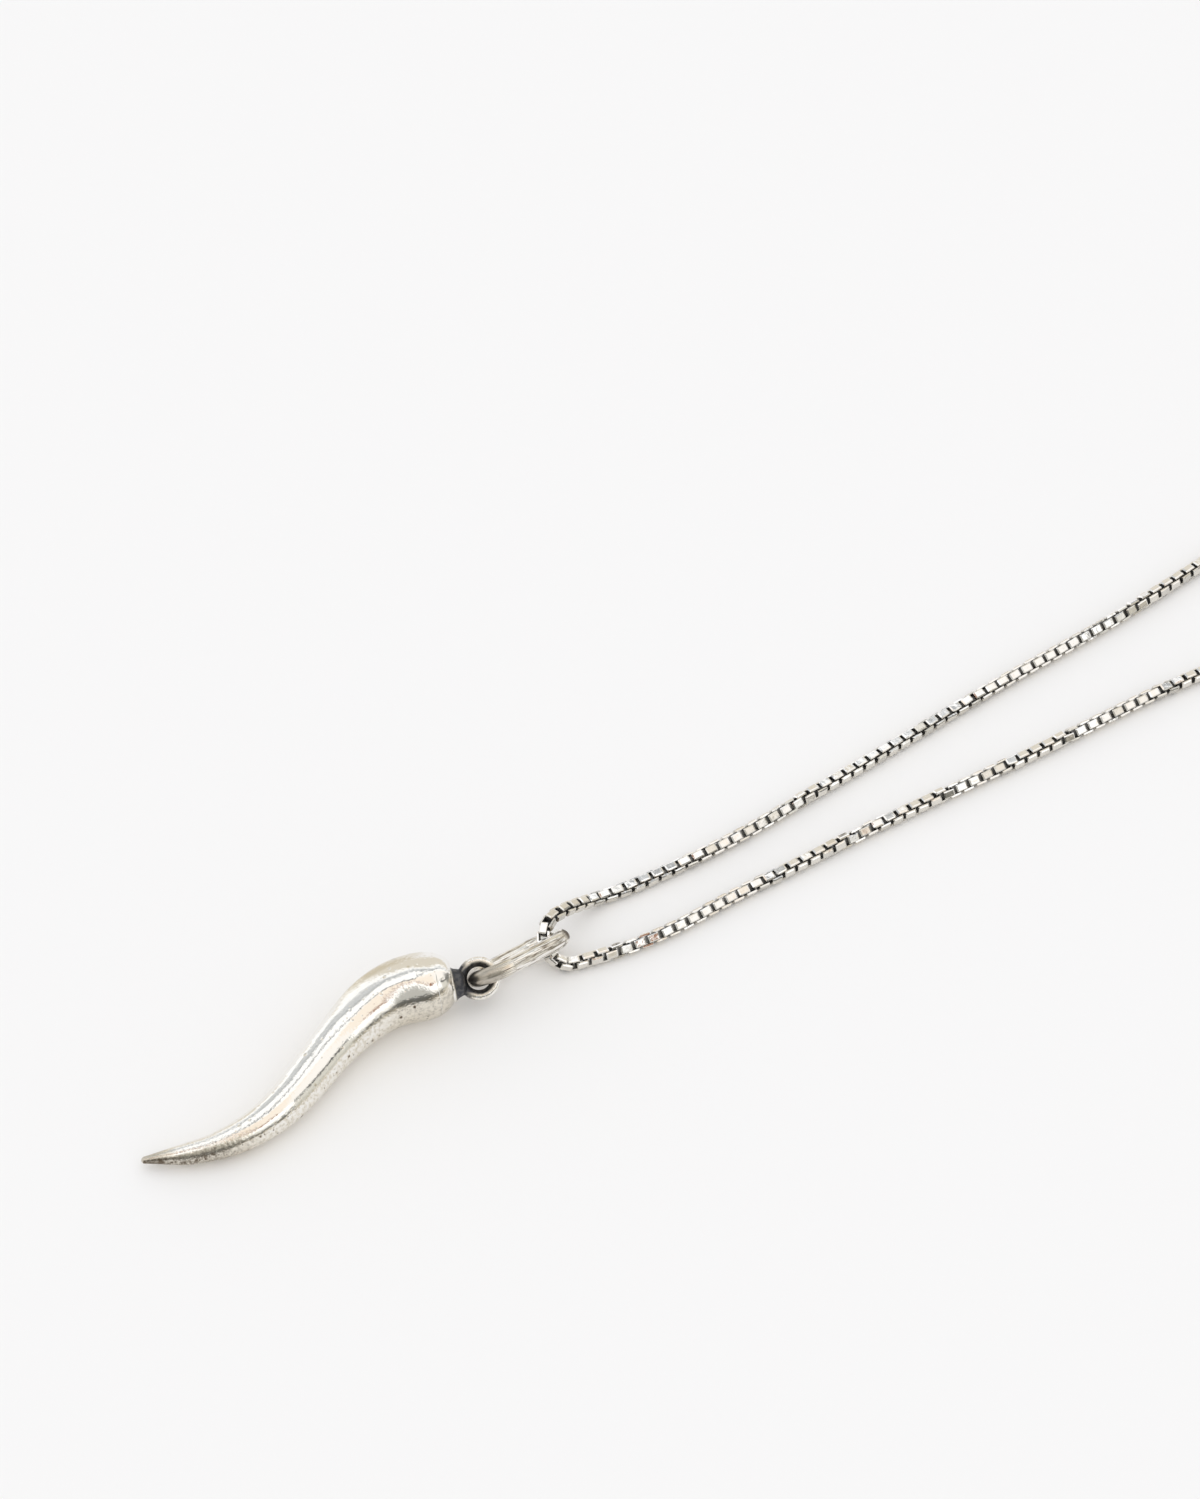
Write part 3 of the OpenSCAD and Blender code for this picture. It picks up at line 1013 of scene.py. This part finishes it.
bail_place = (
    Matrix.Rotation(math.radians(180 + BAIL_TURN), 3, "Z")
    @ Matrix.Rotation(math.radians(-bail_climb), 3, "Y")
    @ Matrix.Rotation(math.radians(BAIL_LEAN), 3, "X")
)
bail_line = oval(bail_straight, bail_radius, BAIL_POINTS) @ np.array(bail_place).T + bail_middle
bail_aim = aim(180 + BAIL_TURN, bail_climb)
bail_far = bail_middle - bail_straight / 2 * bail_aim
print("bail climbs", round(bail_climb, 5), "degrees, with its middle at", bail_middle.round(3))

# %% [markdown]
# The wire shows fine dark lines, where the drawing die and the chain left their marks. The end
# in the loop is darkened as painted shade, where it lies inside the horn's loop, and a dark
# crescent on the side of the far end is a painted reflection.

# %% Wear and sweep the bail
def bail_wear_and_shade(graph, place):
    """Dark lines along the wire, painted shade on the end in the loop, and a painted reflection on the
    far end.
    """
    towards_end = along_way(graph, place, bail_middle, -bail_aim)
    lines = wire_noise(graph, 4, 0.22, shift=5.3)
    lines = 1 - graph.smooth_step(graph.math("ABSOLUTE", lines - 0.5), 0.005, 0.045)
    lines = lines * graph.smooth_step(towards_end, -3.6, -2.2)
    lines = lines * (1 - graph.smooth_step(towards_end, 2.9, 3.7))
    blots = graph.smooth_step(speckle(graph, place, 0.4, 4.0, 0.65), 0.5, 0.75)
    dull = lines * 0.8 + blots * 0.16 + 0.03
    # A dark crescent on one side of the far end: painted reflection
    crescent_side = graph.smooth_step(side_on(graph, (0.88, 0.05, 0.45)), 0.6, 0.82)
    far_end_painted_reflection = graph.smooth_step(towards_end, 3.0, 3.8) * crescent_side
    # The end in the loop: painted shade
    loop_end_painted_shade = (1 - graph.smooth_step(towards_end, -3.6, -1.6)) * 0.5
    return graph.math("MINIMUM", dull + far_end_painted_reflection + loop_end_painted_shade, 1)


def bail_relief(graph, place):
    """Drawing lines and small knocks, in millimetres."""
    lines = wire_noise(graph, 5, 0.3)
    return lines * 0.035 + speckle(graph, place, 0.3, 3.0, 0.6) * 0.008


bail_silver = silver(
    "bail silver", tarnish_and_shade=(0.13, 0.10, 0.07), gloss=0.10, wear_and_shade=bail_wear_and_shade, relief=bail_relief
)
line = path_object("bail line", bail_line, BAIL_WIRE / 2, closed=True)
run_tree(line, sweep, {
    "Sides": 72,
    "Dent height": 0.06,
    "Dent length": 1.6,
    "Ripple height": 0.008,
    "Ripple length": 0.35,
    "Seed": 11.0,
    "Closed": True,
    "Material": bail_silver,
})
bail = plain_mesh(line, "bail")
finish_piece(bail, "bail")

# %% [markdown]
# ## Box chain
#
# A box chain is made of hundreds of links, each a short flat strip bent into a square box. Each
# box hooks through the next one, turned by a quarter, so the chain is square too. Flat plates
# are what makes it glitter: each mirrors one spot of the room, bright or dark.
#
# One link is modelled here with few faces, because it is repeated so often. Its section is a
# strip whose outer face is crowned, with bevels along its edges, and its outline is a box with
# rounded corners. The ends, where the next links hook in, are left flat and thin.

# %% Bend one link
LINK_LENGTH = 0.92
LINK_WIDTH = 0.95
STRIP_WIDTH = 0.575
STRIP_THICKNESS = 0.12
STRIP_CROWN = 0.06
CROWN_SLOPE = 0.07
CORNER_RADIUS = 0.11
CORNER_POINTS = 3


def link_mesh():
    """Mesh of a link: the chain runs along Z, and the strip is bent round the Y axis."""
    half = STRIP_WIDTH / 2
    flat = half - CROWN_SLOPE
    section = [
        (0, -half), (STRIP_CROWN, -flat), (STRIP_CROWN, flat), (0, half),
        (-STRIP_THICKNESS, half), (-STRIP_THICKNESS, -half),
    ]
    inner_side = 4
    points = []
    for side_x, side_z, start in ((1, 1, 0), (-1, 1, 90), (-1, -1, 180), (1, -1, 270)):
        corner_x = side_x * (LINK_WIDTH / 2 - CORNER_RADIUS)
        corner_z = side_z * (LINK_LENGTH / 2 - CORNER_RADIUS)
        for i in range(CORNER_POINTS):
            turn = math.radians(start + 90 * i / (CORNER_POINTS - 1))
            for out, across in section:
                reach = CORNER_RADIUS + (out * abs(math.cos(turn)) if out > 0 else out)
                x = corner_x + reach * math.cos(turn)
                z = corner_z + reach * math.sin(turn)
                points.append((x, across, z))
    sides = len(section)
    rounds = len(points) // sides
    faces = []
    for i in range(rounds):
        here = i * sides
        there = (i + 1) % rounds * sides
        for k in range(sides):
            beside = (k + 1) % sides
            faces.append([here + k, there + k, there + beside, here + beside])
    mesh = bpy.data.meshes.new("link")
    mesh.from_pydata(points, [], faces)
    # Faces inside the link and its end bars are marked, to take painted shade in the gaps between links
    end_bars = (CORNER_POINTS - 1, 3 * CORNER_POINTS - 1)
    inside = [float(k == inner_side or i in end_bars) for i in range(rounds) for k in range(sides)]
    mesh.attributes.new("inside", "FLOAT", "FACE").data.foreach_set("value", inside)
    return mesh


link = bpy.data.objects.new("link", link_mesh())
print("one link has", len(link.data.polygons), "faces")

# %% [markdown]
# ## The tree that threads the links
#
# The chain's tree spreads points along a path and puts a link on each, turned so that the link
# runs along the path. The path's own tilt says how the chain is rolled. Every second link is
# turned by a quarter more, and each is shaken a little, since real links have some play.

# %% Build the chain tree
threading, given = new_tree("thread links", [
    ("Links", "Int"),
    ("Link", "Object"),
    ("Roll play", "Float"),
    ("Swing play", "Float"),
    ("Seed", "Int"),
    ("Material", "Material"),
])
spread = threading.node(
    "GeometryNodeCurveToPoints", {"mode": "COUNT"}, {0: given["Geometry"], "Count": given["Links"]}
)
facing = Value(threading, spread.socket.node.outputs["Rotation"])
index = threading.node("GeometryNodeInputIndex")
quarter = threading.math("MODULO", index, 2) * (math.pi / 2)


def shake(play, seed):
    """Random angle of a link, either way."""
    limits = {"Min": play * -1, "Max": play, "ID": index, "Seed": given["Seed"] + seed}
    return threading.node(
        "FunctionNodeRandomValue", {"data_type": "FLOAT"}, limits, output="Value"
    )


turn = threading.node("ShaderNodeCombineXYZ", inputs={
    0: shake(given["Swing play"], 1),
    1: shake(given["Swing play"], 2),
    2: quarter + shake(given["Roll play"], 3),
})
turn = threading.node("FunctionNodeEulerToRotation", inputs={0: turn})
facing = threading.node(
    "FunctionNodeRotateRotation", {"rotation_space": "LOCAL"}, {"Rotation": facing, "Rotate By": turn}
)
shape = threading.node("GeometryNodeObjectInfo", inputs={"Object": given["Link"]}, output="Geometry")
links = threading.node(
    "GeometryNodeInstanceOnPoints", inputs={"Points": spread, "Instance": shape, "Rotation": facing}
)
tone = threading.node(
    "FunctionNodeRandomValue", {"data_type": "FLOAT"}, {"ID": index, "Seed": 7}, output="Value"
)
links = threading.node(
    "GeometryNodeStoreNamedAttribute", {"domain": "INSTANCE"}, {0: links, "Name": "tone", "Value": tone}
)
end_tree(threading, links, given["Material"])
print("chain tree with", len(threading.tree.nodes), "nodes")

# %% [markdown]
# ## The chain's route
#
# The chain comes from one eyelet of the clasp, runs to the bail, climbs through it and goes
# back to the other eyelet. Its route is a table of points, the solid's own: X and Y from the
# bail, and the height above lying flat as a share of the height in the bail. A chain also rolls
# about itself as it lies: some stretches show their flat sides to a viewer and others their
# edges. That roll is a second table for each strand, in degrees by the distance from the bail.

# %% Draw the route
PITCH = 0.59
CLASP_WIDTH = 5.5
CLASP_WIRE = 1.1
EYE_WIDTH = 2.4
EYE_WIRE = 0.6
END_GAP = 0.1
CLASP_X = 195.5
ROUTE = [
    [194, 13, 0], [188, 24, 0], [177, 33, 0], [163, 37, 0], [148, 35, 0], [116, 22, 0],
    [100, 14.5, 0], [83, 8, 0], [62, 4.5, 0], [42, 3.25, 0], [27.5, 2.3, 0], [16, 1.75, 0],
    [9.6, 2.1, 0], [5.9, 2.4, 0.26], [4, 2, 0.91], [2.5, 1.6, 1.37], [1.25, 1.25, 1.49],
    [0.55, 0.8, 1.38], [0.18, 0.4, 1.2], [0, 0, 1], [-0.03, -0.4, 0.76], [0.2, -0.9, 0.42],
    [0.95, -1.5, 0.08], [3.2, -2.2, 0], [7.3, -2.9, 0], [16, -3, 0], [29, -3.2, 0], [42, -3.8, 0],
    [58, -4.3, 0], [80, -7.5, 0], [99, -14.5, 0], [116, -22, 0], [148, -35, 0],
    [163, -37, 0], [177, -33, 0], [188, -24, 0], [194, -13, 0],
]
BAIL_ROW = ROUTE.index([0, 0, 1]) + 1
FACING_CAMERA = 37
UPPER_ROLL = [
    [0, 36], [1.5, 40], [4, 62], [8, 68], [11, 56], [14, 56], [17, 74], [20, 88], [25, 92],
    [28.5, 138], [36, 141], [41, 147], [45, 160], [48, 172], [56, 184], [59, 192], [62, 210],
    [67, 225], [75, 233], [95, 233], [110, 323], [150, 323], [165, 278], [225, 233],
]
LOWER_ROLL = [
    [0, 46], [3, 46], [4.8, 40], [8, 3], [14, 0], [18.5, -12], [22, -45], [25.2, -45],
    [28.8, -88], [32, -130], [35, -135], [37.5, -175], [41, -183], [43.5, -225], [46.5, -225],
    [49, -266], [55.5, -274], [59, -315], [66, -315], [75, -307], [100, -307], [115, -352],
    [160, -352], [180, -397], [225, -397],
]

eye_y = CLASP_WIDTH / 2 + EYE_WIDTH / 2 - (CLASP_WIRE + EYE_WIRE) / 4
chain_end_y = eye_y + EYE_WIDTH / 2 + END_GAP
thread_to_end = CHAIN_WIDTH / 2 + PULL_GAP + BAIL_WIRE / 2
thread_at = bail_far - (bail_radius - thread_to_end) * bail_aim
lie_z = CHAIN_WIDTH / 2
ends = [[CLASP_X, side * (chain_end_y + LINK_LENGTH / 2), 0] for side in (1, -1)]
route = np.array([ends[0], *ROUTE, ends[1]], float)
route[:, 2] = lie_z + route[:, 2] * (thread_at[2] - lie_z)
route[:, :2] += thread_at[:2]
route_rows = np.column_stack([walked(route), route])
chain_length = route_rows[-1, 0]
link_count = round(chain_length / PITCH) + 1
print(link_count, "links on", round(chain_length, 1), "mm")

# %% [markdown]
# The roll also says how high a link stands: a square chain that lies on a corner is higher than
# one that lies on a plate. So the line is lifted wherever a link would reach into the table.

# %% Roll the chain and lay it down
POINTS_PER_LINK = 4
where = np.linspace(0, chain_length, POINTS_PER_LINK * link_count)
chain_line = smooth(route_rows, where)
to_bail = where - route_rows[BAIL_ROW, 0]
upper = to_bail < 0
upper_roll = np.interp(-to_bail, *np.transpose(UPPER_ROLL))
lower_roll = np.interp(to_bail, *np.transpose(LOWER_ROLL))
roll = FACING_CAMERA + np.where(upper, upper_roll, lower_roll)
tilt = np.where(upper, -roll, roll - 90)
level = abs(np.cos(np.radians(roll)))
steep = abs(np.sin(np.radians(roll)))
plate = LINK_WIDTH / 2 + STRIP_CROWN
edge = STRIP_WIDTH / 2
lowest = np.maximum(plate * level + edge * steep, plate * steep + edge * level)
chain_line[:, 2] = np.maximum(chain_line[:, 2], lowest)
print("chain stands up to", round(lowest.max(), 3), "mm over the table on its corners")

# %% [markdown]
# The links are bright where cloth and skin rub them. Inside each link, and on the faces that
# don't look up, the silver is darker: painted shade, for the dark gaps between links and the
# shadowed table that the lower faces mirror.

# %% Thread the chain
def chain_wear_and_shade(graph, place):
    """Painted shade inside each link and on faces that don't look up, and an uneven film outside."""
    inside = attribute(graph, "inside")
    tone = attribute(graph, "tone")
    facing_up = dot(graph, graph.node("ShaderNodeNewGeometry", output="Normal"), (0, 0, 1))
    # Faces that don't look up: painted shade, for the shadowed table that they mirror
    painted_floor_shade = 1 - graph.smooth_step(facing_up, 0.45, 0.7)
    blots = graph.smooth_step(speckle(graph, place, 0.3, 3.0, 0.6), 0.45, 0.75)
    film_and_shade = blots * 0.10 + graph.smooth_step(tone, 0.7, 1) * 0.22 + painted_floor_shade * 0.25
    # Inside faces: painted shade in the gaps between links
    return graph.math("MINIMUM", inside * 0.9 + film_and_shade, 1)


def chain_relief(graph, place):
    """Slight waves of the strip, in millimetres."""
    return speckle(graph, place, 0.5, 2.0, 0.5) * 0.02


chain_silver = silver(
    "chain silver",
    polished=(0.96, 0.955, 0.95),
    film_and_shade=(0.82, 0.79, 0.73),
    tarnish_and_shade=(0.26, 0.26, 0.255),
    gloss=0.10,
    wear_and_shade=chain_wear_and_shade,
    relief=chain_relief,
)
line = path_object("chain line", chain_line, 1.0, tilt=np.radians(tilt))
run_tree(line, threading, {
    "Links": link_count,
    "Link": link,
    "Roll play": math.radians(2),
    "Swing play": math.radians(2.5),
    "Seed": 5,
    "Material": chain_silver,
})
chain = plain_mesh(line, "chain_links")
bpy.data.objects.remove(link)
finish_piece(chain, "chain", sharp=20)

# %% [markdown]
# ## Clasp
#
# A spring ring closes the chain. It is a hollow ring of round tube with a thinner tongue that
# slides into it, and a small eyelet on each side. Two small rings of thin wire tie the last
# links to the eyelets, and stand inside the eyelets' wire by a small step. All of them are swept
# wire again.

# %% Finish the clasp's silver
def clasp_wear(graph, place):
    """A few dull blots."""
    return graph.smooth_step(speckle(graph, place, 0.6, 4.0, 0.6), 0.5, 0.8) * 0.25


def clasp_relief(graph, place):
    """Faint waves of polishing, in millimetres."""
    return speckle(graph, place, 0.5, 3.0, 0.6) * 0.006


clasp_silver = silver(
    "clasp silver", polished=(0.95, 0.945, 0.935), gloss=0.12, wear_and_shade=clasp_wear, relief=clasp_relief
)

# %% Bend the clasp
TONGUE_WIRE = 0.8
TONGUE_ARC = (15, 65)
CLASP_POINTS = 240
END_RING_WIRE = 0.25
END_RING_RADIUS = 0.6
END_RING_LEAN = 45
END_RING_STEP = 0.485
clasp_radius = (CLASP_WIDTH - CLASP_WIRE) / 2
eye_radius = (EYE_WIDTH - EYE_WIRE) / 2
clasp_box = [np.array(corner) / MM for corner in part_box("clasp")]
clasp_middle = (clasp_box[0] + clasp_box[1]) / 2


def swept_ring(name, middle, radius, wire, lean=0, points=120, sides=24):
    """Ring of swept wire round a middle, leaned about the Y axis."""
    turn = np.arange(points) / points * 2 * math.pi
    flat = np.column_stack([radius * np.cos(turn), radius * np.sin(turn), 0 * turn])
    leaned = flat @ np.array(Matrix.Rotation(math.radians(lean), 3, "Y")).T
    line = path_object(name, leaned + middle, np.asarray(wire) / 2, closed=True)
    run_tree(line, sweep, {
        "Sides": sides,
        "Dent height": 0.01,
        "Dent length": 1.5,
        "Ripple height": 0.002,
        "Ripple length": 0.3,
        "Seed": 2.0,
        "Closed": True,
        "Material": clasp_silver,
    })
    return plain_mesh(line, name)


turn = np.arange(CLASP_POINTS) / CLASP_POINTS * 360
tongue = (turn > TONGUE_ARC[0]) & (turn < TONGUE_ARC[1])
ring_wire = np.where(tongue, TONGUE_WIRE, CLASP_WIRE)
rings = [swept_ring("clasp_ring", clasp_middle, clasp_radius, ring_wire, 0, CLASP_POINTS, 40)]
end_ring_y = eye_y + eye_radius - END_RING_STEP
for side in (-1, 1):
    eye_middle = clasp_middle + (0, side * eye_y, 0)
    rings.append(swept_ring("eyelet", eye_middle, eye_radius, EYE_WIRE))
    end_middle = clasp_middle + (0, side * end_ring_y, 0)
    rings.append(
        swept_ring("end ring", end_middle, END_RING_RADIUS, END_RING_WIRE, END_RING_LEAN, 64, 16)
    )
clasp = join("clasp_ring", [ring.data for ring in rings])
for ring in rings:
    bpy.data.objects.remove(ring)
clasp.data.materials.append(clasp_silver)
finish_piece(clasp, "clasp")
